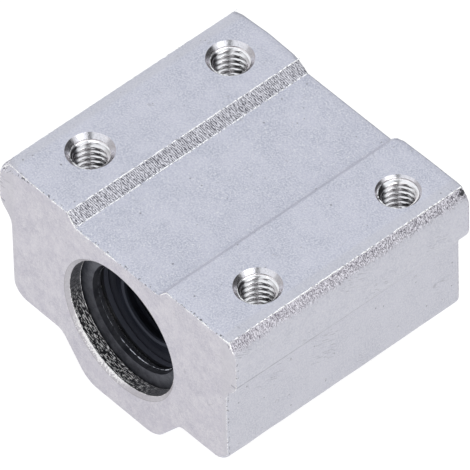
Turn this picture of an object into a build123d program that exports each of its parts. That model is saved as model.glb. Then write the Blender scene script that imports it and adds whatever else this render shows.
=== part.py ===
from build123d import *
import math
import os

# A closed linear bearing block for an 8 mm round shaft, in millimetres.
# X runs across the block, Y along the shaft and Z up, out of the mounting pads.
# The origin is the middle of the shaft bore. The front is the -Y end.

# Aluminium housing, an extruded and machined profile
block_width = 34.0
pad_height = 11.0            # bore axis up to the mounting pads
block_height = 22.2          # pads down to the flat under the boss
ledge_depth = 17.75          # pads down to the ledges beside the boss
flange_overhang = 1.55       # how far each flange stands out past the body
neck_start = 6.1             # pads down to the corners of the neck below the flange
neck_end = 7.5
neck_radius = 2.2
shoulder_width = 1.0         # steep chamfer outside each pad
shoulder_drop = 1.4
shoulder_radius = 1.5
channel_top_width = 14.1     # shallow channel between the pads
channel_floor_width = 11.9
channel_depth = 1.3
channel_corner_radius = 0.25
pad_edge_radius = 0.15
ledge_corner_radius = 1.8
boss_root_width = 17.1       # rounded boss under the bore, at the ledges
boss_nose_width = 10.0       # the same at its flat, before rounding
boss_root_radius = 1.5
boss_nose_radius = 3.1
end_edge_break = 0.12

# Four tapped holes, with a clearance drill on through to the ledges
hole_spacing_x = 24.0
hole_spacing_y = 18.0
hole_offset_x = 0.4          # the pattern isn't quite centred on the block
hole_offset_y = 1.0
thread_radius = 2.0
thread_depth = 8.0
countersink_depth = 0.45     # at 90 degrees, so also how far it widens the hole
through_radius = 1.7
drill_tip_angle = 118.0

# Recirculating ball bushing that sits in the bore
shaft_radius = 4.0
shaft_clearance = 0.01       # shaft to the loaded balls
bearing_length = 24.0
bearing_recess = 3.0         # each end of the housing to the bushing
bore_clearance = 0.01
bore_mouth_chamfer = 0.4
sleeve_wall = 1.24           # outside of the sleeve to the relief inside it
sleeve_seat_wall = 0.93      # the same, beside a seal
sleeve_edge_chamfer = 0.3
outer_groove_depth = 0.35
outer_groove_width = 1.1
outer_groove_inset = 3.25    # end of the sleeve to the groove

# Balls and their circuits
ball_radius = 0.75
ball_gap = 0.06
circuit_count = 4
return_lift = 0.7            # how much further out the return lane lies
lane_half_angle = 16.0       # of each lane from the middle of its circuit
race_clearance = 0.005
land_half_angle = 8.0
return_relief = 0.05

# Moulded ball cage
cage_shaft_gap = 0.25
cage_clearance = 0.1
cage_end_wall = 0.8
lane_clearance = 0.05
land_slot_clearance = 0.1    # between a raceway land and the slot it lies in
cage_edge_chamfer = 0.25

# Seals, their steel cases and the wire rings that hold them
seal_gap = 0.15              # cage to the case's flange
case_wall = 0.35
case_length = 1.95
case_flange_width = 1.35
case_seat_clearance = 0.02
case_step_gap = 0.05
lip_clearance = 0.05
lip_width = 0.25
lip_tongue = 0.65
seal_rib_height = 0.25
snap_ring_thickness = 0.6
snap_ring_width = 0.75
snap_ring_grip = 0.4         # how deep it stands in the sleeve
snap_ring_clearance = 0.05
snap_ring_opening = 3.0
sleeve_end_land = 0.45       # wire ring's groove to the end of the sleeve

# Circlips that hold the bushing in the housing
circlip_thickness = 1.0
circlip_side_gap = 0.05
circlip_groove_depth = 0.35
circlip_rim_clearance = 0.05
circlip_width_far = 1.95     # radial width opposite the lugs
circlip_width_near = 1.5
circlip_gap = 1.9
lug_width = 2.5
lug_reach = 3.05
lug_corner_radius = 0.7
lug_hole_radius = 0.75
lug_hole_inset = 1.2
lug_angle = 60.0             # of the gap, from +X towards +Z

# Worked out from the sizes above: radii from the shaft outwards
cage_inner_radius = shaft_radius + cage_shaft_gap
loaded_radius = shaft_radius + shaft_clearance + ball_radius
return_radius = loaded_radius + return_lift
race_radius = loaded_radius + ball_radius + race_clearance
relief_radius = return_radius + ball_radius + return_relief
cage_outer_radius = relief_radius - cage_clearance
bearing_radius = relief_radius + sleeve_wall
outer_groove_radius = bearing_radius - outer_groove_depth
seat_radius = bearing_radius - sleeve_seat_wall
case_outer_radius = seat_radius - case_seat_clearance
case_inner_radius = case_outer_radius - case_wall
case_flange_radius = case_outer_radius - case_flange_width
snap_groove_radius = seat_radius + snap_ring_grip
bore_radius = bearing_radius + bore_clearance
circlip_groove_radius = bore_radius + circlip_groove_depth
lane_radius = ball_radius + lane_clearance
lane_pitch = math.sqrt(
    loaded_radius**2
    + return_radius**2
    - 2 * loaded_radius * return_radius * math.cos(math.radians(2 * lane_half_angle))
)

# Places along the shaft, from the sleeve's end inwards
block_end = bearing_length / 2 + bearing_recess
sleeve_end = bearing_length / 2
snap_groove_end = sleeve_end - sleeve_end_land
snap_ring_start = snap_groove_end - snap_ring_clearance - snap_ring_thickness
snap_groove_start = snap_ring_start - snap_ring_clearance
case_start = snap_groove_start - case_length
cage_end = case_start - seal_gap
straight_half = cage_end - cage_end_wall - lane_radius - lane_pitch / 2

ledge_z = pad_height - ledge_depth
boss_z = pad_height - block_height
overcut = 1.0                # how far a cutter runs past the face it cuts


def circuit_plane(angle):
    """The flat plane of one circuit: x from its loaded to its return lane, y along the shaft.

    The loaded lane is nearer the shaft, so the plane leans. Its origin is midway between the
    lanes, and its z points outwards.
    """
    load = math.radians(angle - lane_half_angle)
    back = math.radians(angle + lane_half_angle)
    loaded = Vector(loaded_radius * math.cos(load), 0, loaded_radius * math.sin(load))
    returning = Vector(return_radius * math.cos(back), 0, return_radius * math.sin(back))
    across = returning - loaded
    outward = Vector(0, 1, 0).cross(across)
    return Plane(origin=(loaded + returning) / 2, x_dir=across, z_dir=outward)


def turned(*points):
    """A ring turned about the shaft axis from a closed outline of (radius, place along Y)."""
    return revolve(make_face(Polyline(*points, close=True)), Axis.Y)


def sector(inner, outer, middle_angle, half_angle, length):
    """A bar along Y with the section of a ring's sector, centred on the origin."""
    reach = outer / math.cos(math.radians(half_angle)) + overcut
    spread = reach * math.tan(math.radians(half_angle))
    wedge = make_face(Polyline((0, 0), (reach, -spread), (reach, spread), close=True))
    section = wedge & (Circle(outer) - Circle(inner))
    # The sketch's x goes to X and its y to Z, so a turn about -Y raises the angle.
    bar = extrude(Plane.XZ * section, length / 2, both=True)
    return bar.rotate(Axis.Y, -middle_angle)


def limited_radii(points, radii):
    """Each corner's radius, or what the shorter wall beside it has room for."""
    fitted = []
    for i, radius in enumerate(radii):
        here = Vector(*points[i])
        before = Vector(*points[i - 1]) - here
        after = Vector(*points[(i + 1) % len(points)]) - here
        turn = math.radians(180 - before.get_angle(after))
        room = 0.49 * min(before.length, after.length) / math.tan(turn / 2)
        fitted.append(min(radius, room))
    return fitted


def housing_section():
    """The extruded profile: two flanges with pads, a shallow channel, and a boss underneath."""
    side = block_width / 2
    body = side - flange_overhang
    right_half = [
        ((channel_floor_width / 2, pad_height - channel_depth), channel_corner_radius),
        ((channel_top_width / 2, pad_height), pad_edge_radius),
        ((side - shoulder_width, pad_height), pad_edge_radius),
        ((side, pad_height - shoulder_drop), shoulder_radius),
        ((side, pad_height - neck_start), neck_radius),
        ((body, pad_height - neck_end), neck_radius),
        ((body, ledge_z), ledge_corner_radius),
        ((boss_root_width / 2, ledge_z), boss_root_radius),
        ((boss_nose_width / 2, boss_z), boss_nose_radius),
    ]
    left_half = [((-x, z), radius) for (x, z), radius in reversed(right_half)]
    points, radii = zip(*(right_half + left_half))
    outline = FilletPolyline(*points, radius=limited_radii(points, radii), close=True)
    return Plane.XZ * make_face(outline)


def bore_cut():
    """Everything turned out of the housing: the bore, its mouths and the circlip grooves."""
    mouth = bore_radius + bore_mouth_chamfer
    groove_end = sleeve_end + circlip_thickness + 2 * circlip_side_gap
    half = [
        (bore_radius, sleeve_end),
        (circlip_groove_radius, sleeve_end),
        (circlip_groove_radius, groove_end),
        (bore_radius, groove_end),
        (bore_radius, block_end - bore_mouth_chamfer),
        (mouth, block_end),
        (mouth, block_end + overcut),
        (0, block_end + overcut),
    ]
    return turned(*half, *[(radius, -along) for radius, along in reversed(half)])


def hole_cut():
    """One tapped hole from the pad down: countersink, thread, drill tip and clearance drill."""
    countersink_radius = thread_radius + countersink_depth
    tip_depth = (thread_radius - through_radius) / math.tan(math.radians(drill_tip_angle / 2))
    outline = Polyline(
        (0, overcut),
        (countersink_radius, overcut),
        (countersink_radius, 0),
        (thread_radius, -countersink_depth),
        (thread_radius, -thread_depth),
        (through_radius, -thread_depth - tip_depth),
        (through_radius, -ledge_depth - overcut),
        (0, -ledge_depth - overcut),
        close=True,
    )
    return revolve(Plane.XZ * make_face(outline), Axis.Z)


def housing():
    block = extrude(housing_section(), block_end, both=True)
    ends = [block.faces().sort_by(Axis.Y)[i] for i in (0, -1)]
    edges = [edge for face in ends for edge in face.outer_wire().edges()]
    block = chamfer(edges, end_edge_break)
    block -= bore_cut()
    for across in (-0.5, 0.5):
        for along in (-0.5, 0.5):
            place = Pos(
                hole_offset_x + across * hole_spacing_x,
                hole_offset_y + along * hole_spacing_y,
                pad_height,
            )
            block -= place * hole_cut()
    return block


def bearing_sleeve():
    """Hardened outer sleeve: two outer grooves, raceway lands inside and a seat for each seal."""
    groove_outer = sleeve_end - outer_groove_inset
    groove_inner = groove_outer - outer_groove_width
    half = [
        (bearing_radius, groove_inner),
        (outer_groove_radius, groove_inner),
        (outer_groove_radius, groove_outer),
        (bearing_radius, groove_outer),
        (bearing_radius, sleeve_end - sleeve_edge_chamfer),
        (bearing_radius - sleeve_edge_chamfer, sleeve_end),
        (seat_radius, sleeve_end),
        (seat_radius, snap_groove_end),
        (snap_groove_radius, snap_groove_end),
        (snap_groove_radius, snap_groove_start),
        (seat_radius, snap_groove_start),
        (seat_radius, case_start - case_step_gap),
        (relief_radius, case_start - case_step_gap),
    ]
    sleeve = turned(*half, *[(radius, -along) for radius, along in reversed(half)])
    into_wall = (relief_radius + outer_groove_radius) / 2
    for angle in circuit_angles():
        loaded_angle = angle - lane_half_angle
        sleeve += sector(race_radius, into_wall, loaded_angle, land_half_angle, 2 * straight_half)
    return sleeve


def lane_cut(angle):
    """The closed track that one circuit's balls run in, open outwards all round."""
    plane = circuit_plane(angle)
    track = SlotCenterToCenter(2 * straight_half, lane_pitch + 2 * lane_radius, rotation=90)
    island = SlotCenterToCenter(2 * straight_half, lane_pitch - 2 * lane_radius, rotation=90)
    cut = extrude(plane * (track - island), bearing_radius)
    lane = Cylinder(lane_radius, 2 * straight_half, rotation=(90, 0, 0))
    half_turn = revolve(Plane.XZ * Pos(lane_pitch / 2, 0) * Circle(lane_radius), Axis.Z, 180)
    for turn in (Rot(0, 0, 0), Rot(0, 0, 180)):
        cut += plane * turn * Pos(lane_pitch / 2, 0, 0) * lane
        cut += plane * turn * Pos(0, straight_half, 0) * half_turn
    return cut


def ball_cage():
    """Moulded cage with a racetrack for each circuit, slotted through to the shaft where loaded."""
    half = [
        (cage_outer_radius, cage_end - cage_edge_chamfer),
        (cage_outer_radius - cage_edge_chamfer, cage_end),
        (cage_inner_radius + cage_edge_chamfer, cage_end),
        (cage_inner_radius, cage_end - cage_edge_chamfer),
    ]
    cage = turned(*half, *[(radius, -along) for radius, along in reversed(half)])
    slot_floor = race_radius - land_slot_clearance
    slot_half_angle = land_half_angle + math.degrees(land_slot_clearance / race_radius)
    slot_length = 2 * (cage_end + overcut)
    for angle in circuit_angles():
        loaded_angle = angle - lane_half_angle
        cage -= sector(slot_floor, bearing_radius, loaded_angle, slot_half_angle, slot_length)
        cage -= lane_cut(angle)
    return cage


def circuit_balls(angle):
    """The balls of one circuit, evenly spaced round its racetrack, by the stretch they are on."""
    plane = circuit_plane(angle)
    turn_radius = lane_pitch / 2
    half_lap = 2 * straight_half + math.pi * turn_radius
    count = int(2 * half_lap / (2 * ball_radius + ball_gap))
    balls = {"loaded_balls": [], "return_balls": [], "turn_balls": []}
    for i in range(count):
        # The second half of a lap is the first half turned round by 180 degrees.
        turned_round, run = divmod(2 * half_lap * i / count, half_lap)
        if run < 2 * straight_half:
            stretch = "loaded_balls" if turned_round else "return_balls"
            x, y = turn_radius, run - straight_half
        else:
            stretch = "turn_balls"
            bend = (run - 2 * straight_half) / turn_radius
            x, y = turn_radius * math.cos(bend), straight_half + turn_radius * math.sin(bend)
        if turned_round:
            x, y = -x, -y
        balls[stretch].append(plane * Pos(x, y, 0) * Sphere(ball_radius))
    return balls


def seal_case():
    """Stamped steel cup that carries the rubber seal, its flange against the cage."""
    return turned(
        (case_outer_radius, case_start),
        (case_outer_radius, snap_groove_start),
        (case_inner_radius, snap_groove_start),
        (case_inner_radius, case_start + case_wall),
        (case_flange_radius, case_start + case_wall),
        (case_flange_radius, case_start),
    )


def seal_lip():
    """Rubber seal moulded into its case, with a raised rib and a lip that wipes the shaft."""
    floor = case_start + case_wall
    face = snap_groove_start
    lip = shaft_radius + lip_clearance
    root = case_flange_radius
    web = face - seal_rib_height
    return turned(
        (case_inner_radius, floor),
        (case_inner_radius, face),
        (case_inner_radius - seal_rib_height, face),
        (root + seal_rib_height, web),
        (root - seal_rib_height, web),
        (lip + seal_rib_height, face),
        (lip, face - seal_rib_height / 2),
        (lip, face - seal_rib_height / 2 - lip_width),
        (root - seal_rib_height, floor + lip_tongue / 2),
        (root, floor),
    )


def snap_ring():
    """Open ring in the sleeve's inner groove, which holds the seal case in."""
    outer = snap_groove_radius - snap_ring_clearance
    inner = outer - snap_ring_width
    end = snap_ring_start + snap_ring_thickness
    ring = turned((inner, snap_ring_start), (outer, snap_ring_start), (outer, end), (inner, end))
    opening = Box(2 * bearing_radius, 4 * bearing_length, snap_ring_opening)
    return ring - (Pos(bearing_radius, 0, 0) * opening).rotate(Axis.Y, -lug_angle)


def circlip():
    """Internal circlip: a flat open ring, widest opposite its gap, with two holed lugs."""
    outer = circlip_groove_radius - circlip_rim_clearance
    inner = outer - (circlip_width_far + circlip_width_near) / 2
    off_centre = (circlip_width_far - circlip_width_near) / 2
    ring = Circle(outer) - Pos(off_centre, 0) * Circle(inner)
    lug_tip = outer - lug_reach
    lug_angle_from_gap = math.degrees(math.asin((circlip_gap + lug_width) / 2 / lug_tip))
    holes = Sketch()
    for side in (-1, 1):
        turn = Rot(0, 0, side * lug_angle_from_gap)
        lug = Pos(outer - lug_reach / 2, 0) * Rectangle(lug_reach, lug_width)
        lug = fillet(lug.vertices().group_by(Axis.X)[0], lug_corner_radius)
        ring += (turn * lug) & Circle(outer)
        holes += turn * Pos(lug_tip + lug_hole_inset, 0) * Circle(lug_hole_radius)
    gap = Pos(outer, 0) * Rectangle(2 * lug_reach + overcut, circlip_gap)
    plate = ring - holes - gap
    flat = Plane((0, sleeve_end + circlip_side_gap, 0), x_dir=(1, 0, 0), z_dir=(0, -1, 0))
    return extrude(flat * plate, -circlip_thickness).rotate(Axis.Y, -lug_angle)


def circuit_angles():
    """The middle of each ball circuit, from +X towards +Z."""
    return [k * 360 / circuit_count for k in range(circuit_count)]


def save(name, shape):
    export_step(shape, f"parts/{name}.step")


def main():
    os.makedirs("parts", exist_ok=True)
    save("housing", housing())
    save("bearing_sleeve", bearing_sleeve())
    save("ball_cage", ball_cage())
    for number, angle in enumerate(circuit_angles(), 1):
        for stretch, balls in circuit_balls(angle).items():
            save(f"{stretch}_{number}", Compound(children=balls))
    for name, make in (
        ("seal_case", seal_case),
        ("seal_lip", seal_lip),
        ("snap_ring", snap_ring),
        ("circlip", circlip),
    ):
        rear = make()
        save(f"rear_{name}", rear)
        save(f"front_{name}", mirror(rear, about=Plane.XZ))


main()
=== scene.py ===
"""Looks of the linear bearing block: its extruded and machined housing, and the ball bushing inside.

Shapes are worked out in millimetres in the block's own frame: X across the two flanges, Y along the
shaft, Z up, with the origin on the shaft's axis at mid-length. They are written to meshes in metres.
"""

import math

import bmesh
import bpy
import numpy as np
from mathutils import Matrix, Vector


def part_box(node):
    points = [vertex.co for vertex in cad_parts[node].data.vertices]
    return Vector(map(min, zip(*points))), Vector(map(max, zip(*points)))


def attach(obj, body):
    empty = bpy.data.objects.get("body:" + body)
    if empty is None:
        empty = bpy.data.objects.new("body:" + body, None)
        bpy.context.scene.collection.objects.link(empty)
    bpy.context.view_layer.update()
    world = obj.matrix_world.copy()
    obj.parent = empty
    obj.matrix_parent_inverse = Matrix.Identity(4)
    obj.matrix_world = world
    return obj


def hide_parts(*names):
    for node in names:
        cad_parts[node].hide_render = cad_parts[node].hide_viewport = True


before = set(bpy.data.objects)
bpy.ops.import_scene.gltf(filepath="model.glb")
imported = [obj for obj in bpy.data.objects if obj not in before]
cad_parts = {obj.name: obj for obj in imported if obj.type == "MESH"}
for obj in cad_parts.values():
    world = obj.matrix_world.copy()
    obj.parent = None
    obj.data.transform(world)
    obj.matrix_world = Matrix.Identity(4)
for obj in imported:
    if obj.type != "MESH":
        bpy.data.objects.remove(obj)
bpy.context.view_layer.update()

MM = 0.001

# Sizes taken from the frame, in millimetres
housing_low, housing_high = (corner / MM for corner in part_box("housing"))
sleeve_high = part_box("bearing_sleeve")[1] / MM
side = housing_high.x
pad_height = housing_high.z
boss_z = housing_low.z
block_end = housing_high.y
bearing_radius = sleeve_high.x
bearing_end = sleeve_high.y

# The housing's profile
flange_overhang = 1.55
body_side = side - flange_overhang
neck_start = 6.1
neck_end = 7.5
neck_radius = 2.2
ledge_depth = 17.75
shoulder_width = 1.0
shoulder_drop = 1.4
shoulder_radius = 1.5
channel_top_width = 14.1
channel_floor_width = 11.9
channel_depth = 1.3
channel_corner_radius = 0.25
pad_edge_radius = 0.15
ledge_corner_radius = 1.8
boss_root_width = 17.1
boss_nose_width = 10.0
boss_root_radius = 1.5
boss_nose_radius = 3.1
end_edge_break = 0.14
worn_corners = (             # of the end edges: across X, up Z, which end, extra radius, and its reach
    (-16.2, 11.0, -1, 1.2, 1.7),
    (-7.05, 11.0, -1, 0.2, 0.6),
    (7.05, 11.0, -1, 0.2, 0.6),
    (16.2, 11.0, -1, 0.4, 0.8),
    (15.2, -6.5, -1, 0.35, 1.2),
    (-16.2, 11.0, 1, 0.75, 1.2),
    (-7.05, 11.0, 1, 0.5, 0.9),
    (7.05, 11.0, 1, 0.55, 0.7),
    (16.2, 11.0, 1, 0.12, 0.5),
)
ledge_waviness = 0.035

# The bore and the tapped holes
bore_clearance = 0.01
bore_radius = bearing_radius + bore_clearance
bore_mouth_chamfer = 0.4
circlip_groove_depth = 0.35
circlip_groove_width = 1.1
circlip_inner_radius = 5.86
hole_spacing = (24.0, 18.0)
hole_offset = (0.4, 1.0)
thread_major_radius = 2.0
thread_minor_radius = 1.63
thread_pitch = 0.7
thread_depth = 8.0
plain_depth = 0.2            # between a countersink and the first thread
clearance_radius = 1.7
holes = (                    # across and along in hole spacings, and the countersink's radius
    (-0.5, -0.5, 2.48),
    (-0.5, 0.5, 2.42),
    (0.5, -0.5, 2.42),
    (0.5, 0.5, 2.25),
)
hole_places = [              # x, y and the countersink's radius
    (hole_offset[0] + across * hole_spacing[0], hole_offset[1] + along * hole_spacing[1], radius)
    for across, along, radius in holes
]
groove_edge_break = 0.16

# How finely the surfaces are divided
station_step = 0.14          # along the housing
slope_step = 0.14            # across a rough slope
flat_steps = (0.25, 0.7)     # from each end of a flat run on the pads
arc_step = 7.0               # degrees
end_rows = 6                 # round an end edge
bore_columns = 240
hole_columns = 72
thread_rows_per_pitch = 12
seen_thread_depth = 4.9
overcut = 1.0

# Relief of the surfaces
slope_relief = 0.008
lip_relief = 0.02
stroke_spacing = 0.21        # of the torn strokes on the slopes
stroke_lean = 0.56           # along Y for each step across X, on the channel's slope
burr_height = 0.06
burr_width = 0.065
burr_step = 0.06
burr_columns = 8

# Where the block is worn or paler, and where light and shade are painted on it
shade_line_height = 4.95         # of the painted shade line where the flanges' sides turn under, at mid-length
shade_line_slope = -0.03
right_side = 12.0            # the right shoulder and side lie further across than this
# where a nick's shadow is painted as a near-black spot
nick_shadow_place = (side - 0.7, block_end - 0.25, pad_height - 0.45)
scuff_lean = -22.0           # of the sides' scuffs, in degrees
scuff_size = (1.0, 1.1, 0.12)
bore_glint_angle = 240.0          # where the bore's painted shade and glints lie and its mouth beads are fullest, in degrees from +X towards +Z
mouth_highlight_angle = 241.0        # where its mouth's chamfer has a painted highlight
groove_angle = 196.0         # where its grooves' edges are turned up most
seal_highlight_angle = 288.0          # where the seal's painted highlight beads are thickest
seal_highlight_offset = 0.45          # of those beads beyond the bushing's end
thread_shade_angle = 238.0            # where the threads' painted shade lies, in degrees from +X towards +Y
hole_angle = 262.0           # where the holes' edges are turned up most
paler_ring_reach = (11.4, 11.48)       # from mid-length: paler up to here
# The seal's painted fill light: nearer mid-length than this reach, and beyond this radius
seal_fill_reach = (10.1, 10.4)
seal_fill_radius = (5.5, 5.8)         # painted fill light from here outwards
worn_lip_radius = (4.25, 4.45)         # worn up to here

# The floor and the room
floor_reach = 3000.0
floor_corners = 96
room_fill = 0.56             # how strongly the room lights what isn't a mirror
white = (1.0, 1.0, 1.0)

# The camera: where it stands as seen from the block, and what it looks at
view_azimuth = 49.22         # from -Y towards +X
view_elevation = 47.17
view_roll = -1.55
view_target = (-1.036, 0.901, 0.948)
view_distance = 1200.0
view_width = 45.19           # of the picture, at the target


def smooth_noise(points, cell, seed):
    """Random heights from -1 to 1 on a lattice of the given cell, blended between its corners.

    The blend is t * t * (3 - 2 * t) along each axis. The cell is one length or one for each axis.
    """
    heights = np.random.default_rng(seed).uniform(-1, 1, 8192)
    scaled = np.asarray(points, float) / cell
    corner = np.floor(scaled).astype(np.int64)
    part = scaled - corner
    part = part * part * (3 - 2 * part)
    total = np.zeros(scaled.shape[:-1])
    for step in np.ndindex(2, 2, 2):
        lattice = corner + step
        pick = (lattice[..., 0] * 73856093) ^ (lattice[..., 1] * 19349663) ^ (lattice[..., 2] * 83492791)
        weight = np.where(step, part, 1 - part).prod(-1)
        total += heights[pick % len(heights)] * weight
    return total


def full_turn(count):
    """So many angles evenly round a circle."""
    return np.linspace(0, 2 * math.pi, count, endpoint=False)


def travelled(outline):
    """How far along the outline each of its points lies."""
    return np.cumsum(np.r_[0, np.hypot(*np.diff(outline, axis=0).T)])


def tube_faces(place, turned=False):
    """Corner numbers of a closed tube over a grid of points: its side's quads and its two end caps.

    Each row of the grid goes once round the tube. The faces can be turned the other way about.
    """
    rows, columns = place.shape[:2]
    column = np.arange(columns)
    right = (column + 1) % columns
    here = np.arange(rows - 1)[:, None] * columns
    above = here + columns
    quads = np.stack([here + column, here + right, above + right, above + column], -1).reshape(-1, 4)
    caps = [column[::-1], (rows - 1) * columns + column]
    return (quads[:, ::-1], [cap[::-1] for cap in caps]) if turned else (quads, caps)


def add_object(name, data):
    """A new object in the scene for a mesh, a lamp or a camera."""
    made = bpy.data.objects.new(name, data)
    bpy.context.scene.collection.objects.link(made)
    return made


def make_piece(name, points, quads, caps):
    """A mesh object from points in millimetres, an array of quads and loops of corner numbers."""
    mesh = bpy.data.meshes.new(name)
    points = np.asarray(points, float).reshape(-1, 3) * MM
    corners = np.concatenate([quads.ravel(), *caps]).astype(np.int32)
    sizes = np.concatenate([np.full(len(quads), 4), [len(cap) for cap in caps]]).astype(np.int32)
    mesh.vertices.add(len(points))
    mesh.vertices.foreach_set("co", points.ravel())
    mesh.loops.add(len(corners))
    mesh.loops.foreach_set("vertex_index", corners)
    mesh.polygons.add(len(sizes))
    mesh.polygons.foreach_set("loop_start", (np.cumsum(sizes) - sizes).astype(np.int32))
    mesh.update(calc_edges=True)
    mesh.validate()
    return add_object(name, mesh)


def shade(piece, sharp_angle):
    """Smooth shading, apart from edges that turn by more than the angle in degrees."""
    piece.data.shade_smooth()
    piece.data.set_sharp_from_angle(angle=math.radians(sharp_angle))


def read(items, name, width, kind=float):
    """One property of a mesh's vertices, edges or faces, as an array with a row for each."""
    values = np.zeros(len(items) * width, kind)
    items.foreach_get(name, values)
    return values.reshape(-1, width)


def sharpen_end_faces(mesh):
    """Keeps both flat ends flat: their edges are sharp whatever they turn by."""
    on_end = np.abs(read(mesh.vertices, "co", 3)[:, 1]) > (block_end - 0.0005) * MM
    ends = read(mesh.edges, "vertices", 2, np.int32)
    sharp = read(mesh.edges, "use_edge_sharp", 1, bool)[:, 0]
    mesh.edges.foreach_set("use_edge_sharp", sharp | on_end[ends].all(axis=1))


def profile_corners():
    """Corners of the housing's profile as (x, z, radius, rough run after it), anticlockwise from +X."""
    ledge_z = pad_height - ledge_depth
    half = [
        (channel_floor_width / 2, pad_height - channel_depth, channel_corner_radius),
        (channel_top_width / 2, pad_height, pad_edge_radius),
        (side - shoulder_width, pad_height, pad_edge_radius),
        (side, pad_height - shoulder_drop, shoulder_radius),
        (side, pad_height - neck_start, neck_radius),
        (body_side, pad_height - neck_end, neck_radius),
        (body_side, ledge_z, ledge_corner_radius),
        (boss_root_width / 2, ledge_z, boss_root_radius),
        (boss_nose_width / 2, boss_z, boss_nose_radius),
    ]
    right = [(x, z, radius, i == 2) for i, (x, z, radius) in enumerate(half)]
    left = [(-x, z, radius, i in (1, 3)) for i, (x, z, radius) in reversed(list(enumerate(half)))]
    return right + left


def rounded_outline(corners):
    """The rounded outline: its points, outward normals, roughness and lips.

    A corner's arc has its centre on the bisector, radius / sin(half its angle) from the corner. The
    roughness is 1 inside a rough run and 0 at its ends, and the arcs beside that run are lips.
    """
    places = np.array([corner[:2] for corner in corners])
    arcs = []
    for i, (x, z, radius, rough) in enumerate(corners):
        here = places[i]
        back = places[i - 1] - here
        ahead = places[(i + 1) % len(places)] - here
        back, ahead = back / np.hypot(*back), ahead / np.hypot(*ahead)
        half_angle = math.acos(np.dot(back, ahead)) / 2
        reach = radius / math.tan(half_angle)
        middle = (back + ahead) / np.hypot(*(back + ahead))
        centre = here + middle * radius / math.sin(half_angle)
        first, last = here + back * reach - centre, here + ahead * reach - centre
        start = math.atan2(first[1], first[0])
        sweep = (math.atan2(last[1], last[0]) - start + math.pi) % (2 * math.pi) - math.pi
        count = max(4, math.ceil(math.degrees(abs(sweep)) / arc_step) + 1)
        angle = start + sweep * np.linspace(0, 1, count)
        spokes = np.stack([np.cos(angle), np.sin(angle)], -1)
        arcs.append((centre + radius * spokes, spokes * math.copysign(1, -sweep)))
    points, normals, roughness, lips = [], [], [], []
    for i, (x, z, radius, rough) in enumerate(corners):
        arc, arc_normals = arcs[i]
        run = arcs[(i + 1) % len(arcs)][0][0] - arc[-1]
        length = np.hypot(*run)
        if rough:
            along = np.linspace(0, 1, math.ceil(length / slope_step) + 1)[1:-1]
        else:
            on_pads = min(z, corners[(i + 1) % len(corners)][1]) > pad_height - shoulder_drop - 0.1
            steps = np.array([step for step in flat_steps if on_pads and step < 0.45 * length])
            along = np.concatenate([steps, [length / 2], (length - steps)[::-1]]) / length
        points += [arc, arc[-1] + run * along[:, None]]
        normals += [arc_normals, np.broadcast_to(arc_normals[-1], (len(along), 2))]
        beside_rough = rough or corners[i - 1][3]
        inner = np.minimum(1, np.minimum(along, 1 - along) * length / 0.15)
        roughness += [np.zeros(len(arc)), inner * rough]
        lips += [np.full(len(arc), float(beside_rough)), np.zeros(len(along))]
    return tuple(np.concatenate(part) for part in (points, normals, roughness, lips))


def gentle_normals(outline, normals, reach=0.8):
    """Normals averaged along the outline with weights exp(-(distance / reach) ** 2).

    An end edge is inset along them, so that its wide rounding doesn't fold over at the tight corners.
    """
    place = travelled(outline)
    spacing = np.hypot(*(np.roll(outline, -1, axis=0) - outline).T)
    gap = np.abs(place[:, None] - place)
    gap = np.minimum(gap, place[-1] - gap)
    mean = (np.exp(-(gap / reach) ** 2) * (spacing + np.roll(spacing, 1))) @ normals
    return mean / np.linalg.norm(mean, axis=1, keepdims=True)


def end_radii(outline, end):
    """The end edge's radius round the outline: the plain one, and more near the worn corners.

    Each worn corner adds radius * exp(-(distance / reach) ** 2). The end is -1 or 1.
    """
    radii = np.full(len(outline), end_edge_break)
    for x, z, which, radius, reach in worn_corners:
        if which == end:
            gap = np.hypot(outline[:, 0] - x, outline[:, 1] - z)
            radii += radius * np.exp(-(gap / reach) ** 2)
    return radii


def housing_body():
    """The profile carried along Y: place = outline - normal * inset(y) + normal * relief.

    The inset rounds each end edge by a quarter circle of that place's own radius. On the rough slopes
    the relief is ridges across the slope, noise with short cells along Y, and beside them it is an
    uneven raised lip.
    """
    outline, normals, roughness, lips = rounded_outline(profile_corners())
    front, rear = end_radii(outline, -1), end_radii(outline, 1)
    first, last = -block_end + front.max(), block_end - rear.max()
    middle = np.linspace(first, last, round((last - first) / station_step))[1:-1, None]
    turn = np.linspace(0, math.pi / 2, end_rows)[:, None]
    along = np.concatenate([
        front * (1 - np.sin(turn[::-1])) - block_end,
        middle + 0 * front,
        block_end - rear * (1 - np.sin(turn)),
    ])
    inset = np.concatenate([front * (1 - np.cos(turn[::-1])), 0 * middle * front, rear * (1 - np.cos(turn))])
    place = np.stack(np.broadcast_arrays(outline[:, 0], along, outline[:, 1]), -1)
    unrolled = np.stack(np.broadcast_arrays(travelled(outline), along, 0.0), -1)
    ridges = smooth_noise(unrolled, (0.4, 0.16, 1), 11) + 0.6 * smooth_noise(unrolled, (0.2, 0.2, 1), 12)
    lip = smooth_noise(unrolled, (0.4, 0.4, 1), 13) + 0.5 * smooth_noise(unrolled, (0.2, 0.15, 1), 14)
    fade = np.clip((block_end - np.abs(along)) / 0.3, 0, 1)
    on_ledge = np.exp(-((outline[:, 1] - pad_height + ledge_depth) / 1.5) ** 2)
    wave = smooth_noise(unrolled, (9.0, 2.4, 1), 15) * ledge_waviness * on_ledge
    shift = slope_relief * roughness * ridges + lip_relief * lips * np.clip(lip, 0, 1) + wave
    inward = gentle_normals(outline, normals) * inset[..., None]
    place[..., 0] += normals[:, 0] * fade * shift - inward[..., 0]
    place[..., 2] += normals[:, 1] * fade * shift - inward[..., 1]
    return make_piece("housing_finished", place, *tube_faces(place))


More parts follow.
